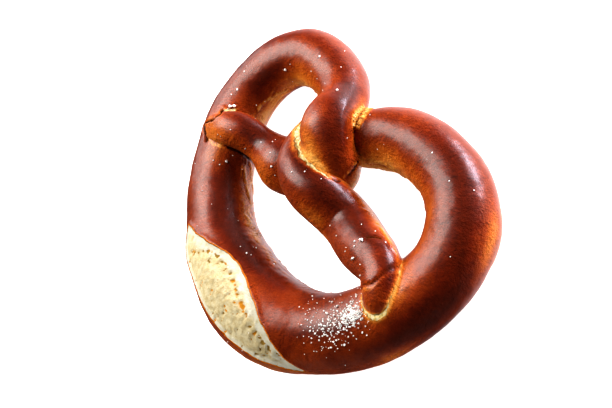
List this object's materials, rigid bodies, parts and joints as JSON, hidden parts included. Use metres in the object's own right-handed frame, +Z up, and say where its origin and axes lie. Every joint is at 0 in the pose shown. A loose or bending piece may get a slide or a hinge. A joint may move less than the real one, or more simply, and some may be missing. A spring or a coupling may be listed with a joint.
{
  "type": "soft pretzel",
  "caption": "Soft baked pretzel: one rope of dough, thick at the belly, its arms twisted round each other and pressed onto the ring, lying on its flat base.",
  "frame": {"origin": "middle of the bounding box, on the flat base that the pretzel rests on", "axes": "+Z up out of the surface it lies on, shown side up; +X across its width, from the left loop to the right loop; +Y from the thick belly towards the loops' tops"},
  "size_m": [0.1526, 0.1268, 0.0322],
  "materials": {
    "crust": "deep brown, glossy baked crust, paler where it burst"
  },
  "bodies": {
    "root": {"pretzel": "crust"}
  },
  "joints": []
}
